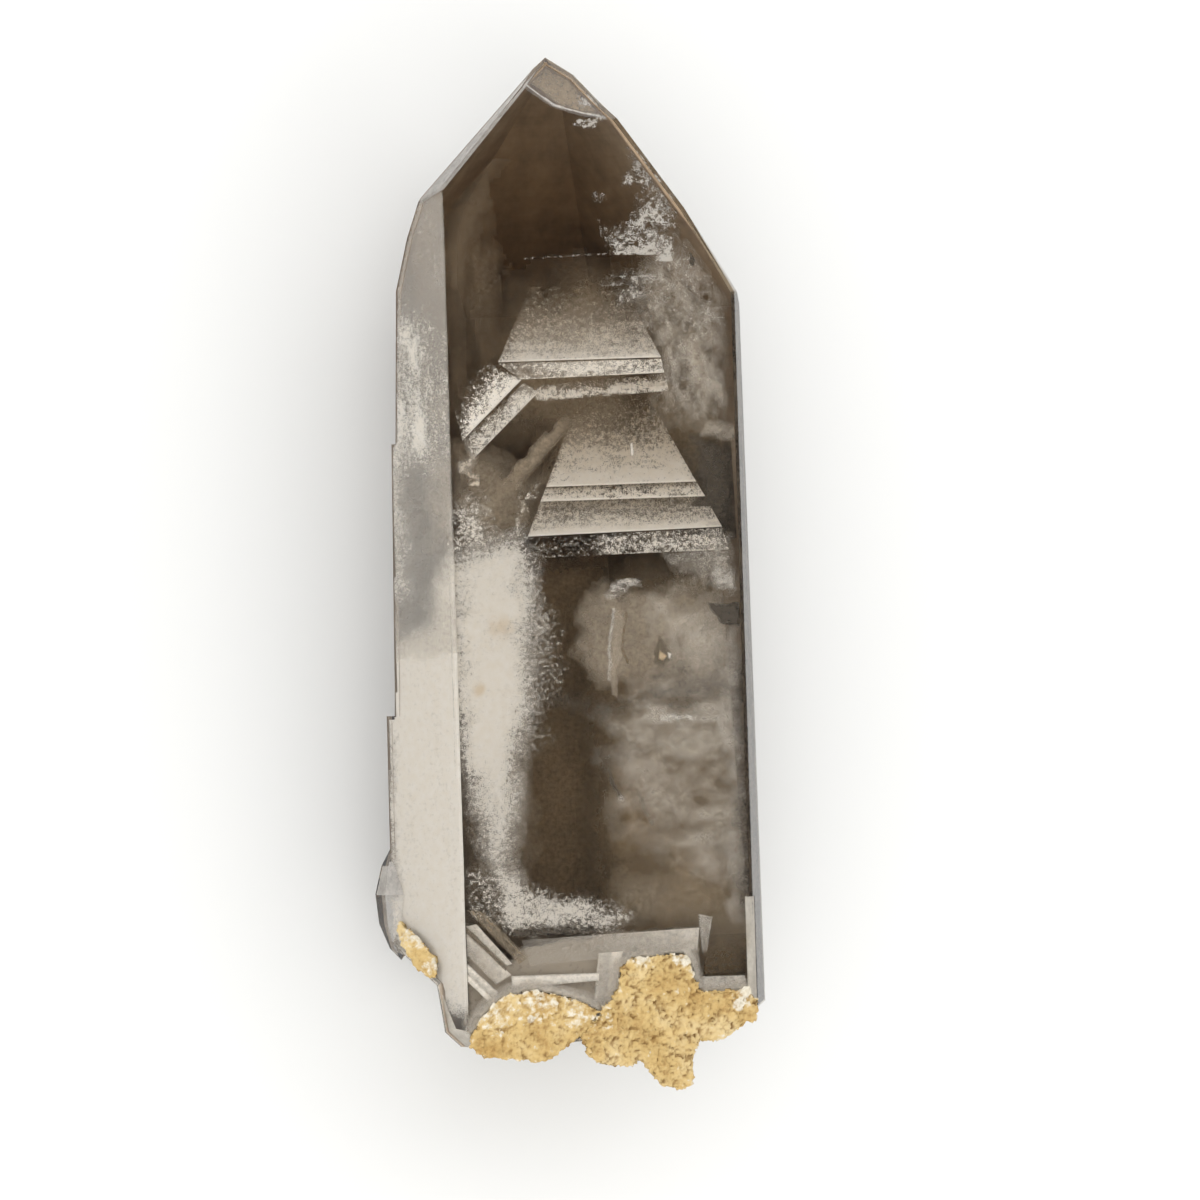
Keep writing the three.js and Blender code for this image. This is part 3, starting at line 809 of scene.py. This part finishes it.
crusts = [
    {"outline": [(20.2, 87.4), (22.4, 85.4), (22.9, 84.3), (21.3, 83.8), (19.6, 84.8), (19.8, 86.0)],
     "depth": 0.25, "spread": 1.1, "cover": 0.52, "warp": 0.8, "clump": (0.6, 0.5)},
    {"outline": [(20.6, 82.8), (22.8, 83.2), (23.9, 80.2), (22.0, 79.6), (19.8, 80.4)], "depth": 0.25,
     "spread": 1.0, "cover": 0.52, "warp": 0.6, "clump": (0.6, 0.45)},
    {"corners": [(17.0, 77.5), (22.8, 77.4), (23.2, 80.4), (15.6, 81.2)], "depth": 0.25,
     "rows": [(0, 0.8), (0.12, 0.62), (0.5, 0.42), (0.8, 0.2), (1, 0.0)], "columns": [(0, 0), (0.2, 0.7),
     (0.5, 0.9), (0.85, 1), (1, 0.2)], "ragged": 0.7, "clump": (0.7, 0.35), "contrast": 1.6},
    {"corners": [(22.0, 76.75), (23.9, 76.7), (24.1, 79.4), (22.4, 79.4)], "depth": 0.25,
     "rows": [(0, 0.9), (0.6, 0.5), (1, 0.1)], "columns": [(0, 0.3), (0.3, 1), (0.85, 1), (1, 0.3)],
     "ragged": 0.7, "clump": (0.5, 0.4), "contrast": 1.2},
    {"corners": [(15.6, 74.3), (23.5, 74.6), (23.5, 76.0), (17.2, 76.2)], "rows": [(0, 0.25), (0.4, 0.42),
     (1, 0.05)], "columns": [(0, 0), (0.3, 0.8), (0.8, 1), (1, 0.2)], "ragged": 0.7, "clump": (0.8, 0.35),
     "contrast": 1.8},
    {"outline": [(18.5, 72.7), (20.8, 73.2), (20.5, 74.0), (18.8, 73.8)], "spread": 0.6, "cover": 0.42,
     "clump": (0.5, 0.35), "pale": 0.6},
    {"outline": [(16.0, 83.6), (17.2, 83.6), (17.2, 83.0), (16.0, 83.0)], "spread": 0.5, "cover": 0.34,
     "warp": 0.4, "clump": (0.5, 0.35), "contrast": 1.4, "pale": 0.5},
    {"outline": [(22.4, 84.2), (24.0, 82.6), (24.4, 81.2), (23.4, 81.4), (22.2, 83.2)], "spread": 0.7,
     "cover": 0.3, "clump": (0.5, 0.5), "contrast": 1.6, "pale": 0.6},
    {"corners": [(8.4, 77.2), (17.0, 77.5), (17.0, 77.7), (8.4, 77.4)], "depth": 0.4, "rows": [(0, 0.2),
     (1, 0.2)], "step": 0.12, "clump": (0.8, 0.3), "contrast": 1.8, "grain": 1, "pale": 0.4},
    # the chip at the tip, its bright rim, and the crust on it
    {"outline": [(9.2, 94.8), (11.25, 97.2), (15.7, 94.7), (18.0, 91.3), (14.3, 91.9), (12.1, 92.9),
     (10.7, 94.2)], "depth": 0.9, "rise": 0.16, "spread": 0.25, "cover": 0.62, "warp": 0.1, "step": 0.15,
     "clump": (2, 1), "contrast": 0.3, "grain": 0, "pale": 0.3, "tint": 0.5},
    {"corners": [(9.1, 94.55), (11.9, 92.4), (12.1, 92.75), (9.2, 94.85)], "rows": [(0, 0.3), (0.5, 1.0),
     (1, 0.3)], "ripple": 0, "clump": (1, 1), "contrast": 0.3, "grain": 0.3, "pale": 0.7},
    {"corners": [(11.9, 92.4), (18.0, 90.85), (18.1, 91.15), (12.1, 92.75)], "rows": [(0, 0.3),
     (0.5, 1.0), (1, 0.3)], "columns": [(0, 1), (0.6, 0.9), (1, 0.2)], "ripple": 0, "clump": (1, 1),
     "contrast": 0.3, "grain": 0.3, "pale": 0.7},
    {"outline": [(14.6, 92.8), (15.2, 94.2), (16.4, 93.9), (17.3, 92.2), (16, 92.2)], "depth": 0.8,
     "rise": 0.16, "spread": 0.6, "cover": 0.6, "step": 0.12, "clump": (0.7, 0.5), "contrast": 1.0,
     "grain": 1, "pale": 0.65},
    {"outline": [(13.4, 90.1), (15.7, 90.2), (17.0, 91.0), (14.3, 91.0)], "depth": 0.25, "spread": 0.3,
     "cover": 0.6, "warp": 0.4, "step": 0.12, "clump": (0.9, 0.3), "contrast": 1.0, "grain": 1},
]
detailUsual = {
    "depth": 0.6, "spread": 0.15, "cover": 0.5, "clump": (0.4, 0.4), "contrast": 1.2, "grain": 0.1,
    "pale": 0.8, "step": 0.1, "warp": 0.25,
}
details = [
    # glassy crack, tube, drop and slits in the beige cloud; the crack's bright streak is a painted
    # highlight
    {"outline": [(15.8, 43.2), (16.6, 44.4), (17.9, 44.9), (19.4, 44.8), (19.6, 44.1), (18.2, 43.5),
     (16.5, 43.0)], "depth": 0.8, "spread": 0.3, "cover": 0.4, "warp": 0.3, "clump": (0.8, 0.25),
     "contrast": 1.8, "grain": 0.6, "pale": 0.75},
    {"outline": [(16.5, 42.0), (16.75, 42.0), (16.3, 39.2), (16.0, 34.8), (15.75, 34.8), (16.05, 39.2)],
     "depth": 0.8, "spread": 0.12, "cover": 0.6, "warp": 0.15, "step": 0.07, "clump": (0.4, 0.7),
     "contrast": 1.0, "grain": 0.2, "pale": 0.7},
    {"outline": [(16.6, 42.1), (17.7, 41.7), (17.4, 38.2), (16.9, 36.0), (16.7, 33.4), (16.0, 33.6),
     (15.9, 35.2)], "depth": 1.0, "spread": 0.2, "cover": 0.24, "clump": (0.6, 1.2), "contrast": 0.6,
     "pale": 0.7, "tint": 0.35},
    {"outline": [(17.7, 41.7), (17.9, 41.6), (17.6, 38.2), (18.0, 36.6), (17.7, 36.8), (17.4, 38.2)],
     "depth": 0.9, "spread": 0.12, "warp": 0.2, "step": 0.07, "clump": (0.5, 0.7), "grain": 0.3,
     "pale": 0.1, "tint": 0.3},
    # the drop: a dark ring of painted shade, its amber middle, and a white painted highlight
    {"outline": [(21.4, 39.1), (22.5, 37.2), (21.5, 36.0), (20.5, 36.5)], "depth": 0.9, "spread": 0.2,
     "cover": 0.55, "warp": 0.2, "clump": (0.5, 0.5), "contrast": 0.5, "pale": 0.1, "tint": 0.15},
    {"outline": [(21.3, 37.8), (22.0, 37.2), (21.6, 36.6), (21.1, 37.0)], "depth": 0.7, "cover": 0.9,
     "warp": 0.1, "step": 0.08, "contrast": 0.4, "grain": 0, "tint": 0.7},
    # painted highlight on the drop
    {"outline": [(22.1, 37.6), (22.5, 37.4), (22.4, 36.9), (22.2, 37.0)], "spread": 0.1, "cover": 1.0,
     "warp": 0.05, "step": 0.08, "contrast": 0.2, "grain": 0, "pale": 0.9},
    {"outline": [(21.2, 31.6), (24.6, 31.2), (24.4, 30.6), (21.6, 30.9)], "depth": 0.5, "spread": 0.4,
     "cover": 0.55, "warp": 0.4, "step": 0.12, "clump": (0.7, 0.35), "grain": 0.9, "pale": 0.75},
    {"outline": [(26.4, 42.3), (29.7, 42.4), (29.7, 40.2), (27.8, 40.4)], "spread": 0.2, "cover": 0.95,
     "step": 0.12, "clump": (0.8, 0.5), "contrast": 0.3, "pale": 0.06},
    {"outline": [(27.0, 46.1), (29.6, 45.8), (29.6, 43.8), (27.2, 44.0)], "depth": 0.8, "spread": 0.5,
     "warp": 0.5, "step": 0.15, "clump": (0.9, 0.6), "contrast": 0.7, "grain": 0.5, "pale": 0.7},
    {"outline": [(15.5, 26.4), (15.8, 26.0), (16.2, 24.6), (16.9, 23.2), (16.5, 23.2), (15.8, 24.8)],
     "depth": 0.8, "cover": 0.75, "step": 0.08, "clump": (0.4, 0.5), "grain": 0.5, "pale": 0.08},
    {"outline": [(16.6, 23.4), (17.2, 23.2), (17.1, 22.7), (16.6, 22.8)], "depth": 0.7, "cover": 0.4,
     "warp": 0.1, "contrast": 0.8, "grain": 0.4, "pale": 0.6},
    {"outline": [(18.6, 23.6), (19.0, 23.6), (19.2, 22.0), (20.0, 20.2), (19.6, 20.4), (18.9, 22.0)],
     "depth": 1.2, "spread": 0.25, "cover": 0.45, "warp": 0.3, "clump": (0.4, 0.6), "grain": 0.5,
     "pale": 0.12},
    # drop and flecks higher up
    {"outline": [(25.95, 77.6), (26.3, 76.9), (26.1, 76.2), (25.8, 76.6)], "cover": 0.9, "warp": 0.1,
     "step": 0.08, "clump": (0.5, 0.5), "contrast": 0.2, "grain": 0, "pale": 0.05},
    {"outline": [(18.9, 58.6), (19.1, 58.6), (19.2, 57.4), (18.95, 57.4)], "spread": 0.12, "cover": 1.0,
     "warp": 0.05, "step": 0.08, "contrast": 0.3},
    {"outline": [(1.9, 56.0), (2.9, 55.9), (2.9, 54.7), (2.2, 54.6)], "spread": 0.3, "warp": 0.3,
     "contrast": 1.4, "grain": 0.9, "tint": 0.35},
]
ledgeUsual = {"depth": 0.35, "contrast": 0.3, "grain": 0.1, "pale": 0.95}
ledges = [
    # cream halo round the clay, and the ground under all the steps
    {"outline": clayLumps["clay_left"]["outline"], "spread": 1.4, "cover": 1.7, "hollow": 0.2,
     "warp": 0.1, "clump": (1.2, 0.8), "grain": 0.2, "pale": 0.85, "tint": 0.1},
    {"outline": clayLumps["clay_right"]["outline"], "spread": 1.4, "cover": 1.7, "hollow": 0.2,
     "warp": 0.1, "clump": (1.2, 0.8), "grain": 0.2, "pale": 0.85, "tint": 0.1},
    {"outline": [(0.3, 11), (4.6, 6.8), (6.2, 8.6), (15, 9.6), (24.3, 9.7), (24.2, 2), (0.3, 1)],
     "depth": 1.4, "spread": 0.5, "cover": 1.2, "warp": 0.2, "clump": (2.5, 1.5), "contrast": 0.25,
     "grain": 0, "pale": 0.42, "tint": 0.16},
    # grey growth steps over the base, the white step under them, and the slanting ones at the left
    {"corners": [(6.8, 6.7), (24.3, 7.6), (24.6, 9.85), (5.9, 9.3)], "depth": 0.6, "rows": [(0, 0.4),
     (0.4, 0.5), (0.9, 0.55), (1, 0.75)], "columns": [(0, 0.2), (0.4, 0.4), (0.6, 0.9), (1, 1.5)],
     "ragged": 0, "contrast": 0.25, "grain": 0.15, "pale": 0.8, "tint": 0.08},
    {"corners": [(4.8, 4.6), (13.9, 4.95), (13.95, 5.75), (4.8, 5.8)], "depth": 0.4, "rows": [(0, 0.7),
     (0.5, 0.9), (0.92, 1.2), (1, 0.5)], "ragged": 0, "contrast": 0.15, "tint": 0.04},
    {"corners": [(13.2, 1.9), (15.8, 3.4), (16.5, 7.8), (13.9, 7.7)], "depth": 0.5, "rows": [(0, 0.8),
     (0.6, 0.6), (1, 0.9)], "columns": [(0, 0.5), (0.5, 0.6), (0.7, 1.3), (1, 1.4)], "ragged": 0,
     "tint": 0.05},
    {"corners": [(0.3, 12.6), (5.6, 6.9), (6.6, 7.6), (2.2, 12.2)], "depth": 0.9, "rows": [(0, 0.1),
     (0.3, 0.5), (0.55, 0.15), (0.7, 0.55), (1, 0.1)], "contrast": 0.5, "grain": 0.2, "pale": 0.45,
     "tint": 0.4},
    {"corners": [(0.25, 10.9), (4.3, 6.8), (4.9, 7.0), (1.3, 11.1)], "depth": 0.5, "rows": [(0, 0.5),
     (0.5, 0.7), (1, 0.9)], "ragged": 0, "grain": 0.2, "pale": 0.85, "tint": 0.12},
    {"corners": [(0.25, 10.3), (4.2, 6.3), (4.3, 6.6), (0.25, 10.7)], "rows": [(0, 0.1), (0.5, 0.6),
     (1, 0.1)], "step": 0.12, "contrast": 0.5, "grain": 0.3, "pale": 0.1, "tint": 0.2},
    {"corners": [(0.25, 8.0), (3.2, 5.0), (4.8, 5.9), (0.25, 10.2)], "depth": 0.6, "rows": [(0, 0.3),
     (0.5, 0.5), (1, 0.8)], "columns": [(0, 0.7), (0.5, 0.9), (1, 1.3)], "ragged": 0, "pale": 0.9,
     "tint": 0.1},
    {"corners": [(0.25, 5.4), (2.6, 3.0), (3.4, 4.2), (0.25, 7.2)], "depth": 0.45, "rows": [(0, 0.9),
     (0.35, 1.0), (0.45, 0.3), (0.6, 0.6), (0.9, 0.9), (1, 0.3)], "ragged": 0.1, "tint": 0.05},
    # the dark line above the grey step
    {"corners": [(5.0, 9.7), (15.4, 9.8), (15.6, 10.25), (5.2, 10.5)], "depth": 0.5, "rows": [(0, 0.4),
     (0.5, 0.75), (1, 0.1)], "columns": [(0, 1), (0.7, 0.8), (1, 0.2)], "step": 0.12, "clump": (0.7, 0.4),
     "contrast": 1.0, "grain": 0.6, "pale": 0.06},
    # the speckled step, the pale strip and the brown recess at the right
    {"corners": [(24.7, 3.3), (29.5, 3.3), (29.2, 4.9), (24.8, 4.95)], "depth": 0.4, "rows": [(0, 0.9),
     (0.6, 0.8), (1, 0.7)], "clump": (0.8, 0.5), "contrast": 0.6, "grain": 0.5, "pale": 0.72,
     "tint": 0.05},
    {"corners": [(29.7, 1.5), (30.15, 1.5), (30.2, 12.6), (29.8, 12.8)], "rows": [(0, 0.8), (0.6, 0.9),
     (1, 0.7)], "step": 0.15, "clump": (0.5, 1.0), "contrast": 0.5, "grain": 0.3, "pale": 0.72},
    {"corners": [(24.9, 5.0), (29.4, 5.0), (29.6, 9.0), (25.2, 9.0)], "depth": 5.0, "rows": [(0, 0.6),
     (0.5, 0.4), (1, 0.1)], "contrast": 0.4, "pale": 0.4, "tint": 0.4},
    {"corners": [(24.8, 7.2), (25.3, 7.4), (26.0, 10.9), (24.5, 11.2)], "depth": 0.8, "rows": [(0, 0.1),
     (0.5, 0.35), (1, 0.4)], "contrast": 0.4, "grain": 0.2, "pale": 0.75},
]
leftFace = [
    # a thin even haze under the left face: partly milky dust, partly a painted sheen for the face's grey
    # reflection
    {"outline": [(-2.5, 38), (8.6, 38), (9.5, 84), (-2.5, 84)], "depth": 0.3, "spread": 0.6,
     "cover": 0.27, "clump": (3, 5), "contrast": 0.3, "grain": 0.1, "pale": 0.8, "tint": 0.06},
    {"outline": [(6.4, 44), (9.6, 44), (9.6, 82), (7.0, 80)], "depth": 0.25, "spread": 1.6, "cover": 0.6,
     "clump": (1, 3), "contrast": 0.6, "grain": 0.5, "pale": 0.74},
    {"outline": [(1.5, 57), (8.6, 55.5), (8.6, 73), (2.5, 71)], "depth": 0.2, "spread": 2.6,
     "cover": 0.62, "clump": (1.0, 2.4), "contrast": 1.0, "pale": 0.75},
    {"outline": [(0.2, 70), (1.0, 70), (1.0, 58), (0.2, 58)], "depth": 0.2, "spread": 0.8, "cover": 0.4,
     "clump": (0.8, 1.6), "contrast": 1.3, "grain": 1, "pale": 0.75},
    {"outline": [(-2.5, 1.5), (9.6, 6), (9.6, 39), (3.5, 40.5), (1.8, 47), (-2.5, 49)], "depth": 0.35,
     "spread": 1.6, "cover": 1.15, "warp": 0.5, "clump": (2, 9), "contrast": 0.2, "grain": 0.5,
     "pale": 0.72, "tint": 0.02},
]
quartzSurface = BVHTree.FromObject(crystal, bpy.context.evaluated_depsgraph_get())
makeVeil("phantom_dust", phantoms, {}, underFront, 100)
makeVeil("snow_cloud", cloud, cloudUsual, underFront, 300)
makeVeil("deep_haze", smoke, smokeUsual, underFront, 500)
makeVeil("tip_crust", crusts, crustUsual, underFront, 700)
makeVeil("inclusions", details, detailUsual, underFront, 1300)
makeVeil("base_ledges", ledges, ledgeUsual, underFront, 1600)
makeVeil("left_face_veil", leftFace, {}, underLeft, 1900)

baseTop = 12  # mm up from the base line, where the frosted right edge ends
frostTop = 3.0  # mm up, where the frost under the clay ends


def facesBack(face):
    return face.normal.z < -0.1


def onSide(face):
    return -0.1 < face.normal.z < 0.9


def facesRight(face):
    above = face.center.y > (baseLine + baseTop) * mm
    return above and onSide(face) and face.normal.x > 0.3 and face.normal.y < 0.2


def facesTipRight(face):
    return onSide(face) and face.normal.x > 0.3 and face.normal.y > 0.2


def facesTipLeft(face):
    return onSide(face) and face.normal.x < -0.3 and face.normal.y > 0.2


def atBase(face):
    rightStrip = onSide(face) and face.normal.x > 0.3 and face.center.y < (baseLine + baseTop) * mm
    return rightStrip or face.center.y < (baseLine + frostTop) * mm and face.normal.z < 0.95


# Sheets just under some faces: depth and thickness in mm, and the least face that has one in mm2
hazes = {
    "back_haze": {"finish": backFinish, "on": facesBack, "depth": 0.6, "thick": 0.05, "least": 6.0},
    "rim_smoke": {"finish": rimFinish, "on": facesRight, "depth": 0.35, "thick": 0.03, "least": 2.0},
    "tip_smoke": {"finish": tipFinish, "on": facesTipRight, "depth": 0.35, "thick": 0.03, "least": 2.0},
    "tip_sheen": {"finish": sheenFinish, "on": facesTipLeft, "depth": 0.35, "thick": 0.03, "least": 2.0},
    "base_frost": {"finish": frostFinish, "on": atBase, "depth": 0.25, "thick": 0.03, "least": 0.4},
}


def makeHaze(name, haze):
    piece = copyCrystal(name)
    bpy.ops.object.mode_set(mode="EDIT")
    bpy.ops.mesh.select_mode(type="FACE")  # or the faces between deleted ones would go too
    bpy.ops.mesh.select_all(action="DESELECT")
    bpy.ops.object.mode_set(mode="OBJECT")
    for face in piece.data.polygons:
        face.select = not haze["on"](face) or face.area < haze["least"] * mm * mm
    bpy.ops.object.mode_set(mode="EDIT")
    bpy.ops.mesh.delete(type="FACE")
    bpy.ops.mesh.select_all(action="SELECT")
    bpy.ops.transform.shrink_fatten(value=-haze["depth"] * mm)
    bpy.ops.object.mode_set(mode="OBJECT")
    applyModifier(piece, "SOLIDIFY", {"thickness": haze["thick"] * mm, "offset": -1})
    finishPiece(piece, haze["finish"])
    print(name, len(piece.data.polygons), "faces")


for name, haze in hazes.items():
    makeHaze(name, haze)
print("what the quartz holds is made")


floorSize = 3.0  # metres


def makeFloor():
    bpy.ops.object.select_all(action="DESELECT")
    bpy.ops.mesh.primitive_plane_add(size=floorSize, location=(0, 0, 0))
    floor = bpy.context.object
    floor.name = "floor"
    material, nodes, shader = finishNamed("floor_paper")
    nodes.set(shader, "Base Color", rgb(0.56, 0.56, 0.55))
    nodes.set(shader, "Roughness", 0.9)
    nodes.set(shader, "Specular IOR Level", 0.1)
    floor.data.materials.append(material)


tent = {
    "walls": 2.2,  # brightness of the white walls
    "card": 0.1,  # and of the dark card that the front face mirrors
    "cardReach": (math.cos(math.radians(22)), math.cos(math.radians(13))),  # its soft edge
}


def makeTent():
    world = bpy.data.worlds.new("light_tent")
    bpy.context.scene.world = world
    nodes = Nodes(world)
    direction = nodes.add("ShaderNodeTexCoord", output="Generated")
    mirrored = (math.sin(view["tilt"]), 0, math.cos(view["tilt"]))
    dotProduct = {"operation": "DOT_PRODUCT"}
    towards = nodes.add("ShaderNodeVectorMath", dotProduct, {0: direction, 1: mirrored}, output=1)
    strength = nodes.fit(towards, *tent["cardReach"], tent["walls"], tent["card"])
    background = nodes.tree.nodes["Background"]
    nodes.set(background, "Color", rgb(1, 1, 1))
    nodes.set(background, "Strength", strength)


def makeCamera():
    camera = bpy.data.cameras.new("camera")
    camera.lens = view["lens"]
    camera.sensor_width = view["sensor"]
    camera.clip_start = 0.01
    camera.clip_end = 20
    holder = bpy.data.objects.new("camera", camera)
    bpy.context.scene.collection.objects.link(holder)
    bpy.context.scene.camera = holder
    tilt, roll = view["tilt"], view["roll"]
    back = Vector((-math.sin(tilt), 0, math.cos(tilt)))
    level = Vector((math.cos(tilt), 0, math.sin(tilt)))
    along = Vector((0, 1, 0))
    right = level * math.cos(roll) - along * math.sin(roll)
    up = level * math.sin(roll) + along * math.cos(roll)
    distance = view["pictureWidth"] * view["lens"] / view["sensor"]
    aim = Vector((leftEdge + view["centreAcross"], baseLine + view["centreAlong"], frontHeight))
    turn = Matrix((right, up, back)).transposed().to_4x4()
    holder.matrix_world = Matrix.Translation((aim + back * distance) * mm) @ turn


makeFloor()
makeTent()
makeCamera()
scene = bpy.context.scene
scene.view_settings.view_transform = "Standard"
bounces = {"max": 24, "transmission": 20, "diffuse": 6, "glossy": 12, "transparent_max": 48}
for kind, count in bounces.items():
    setattr(scene.cycles, kind + "_bounces", count)
print("floor, light and camera placed")
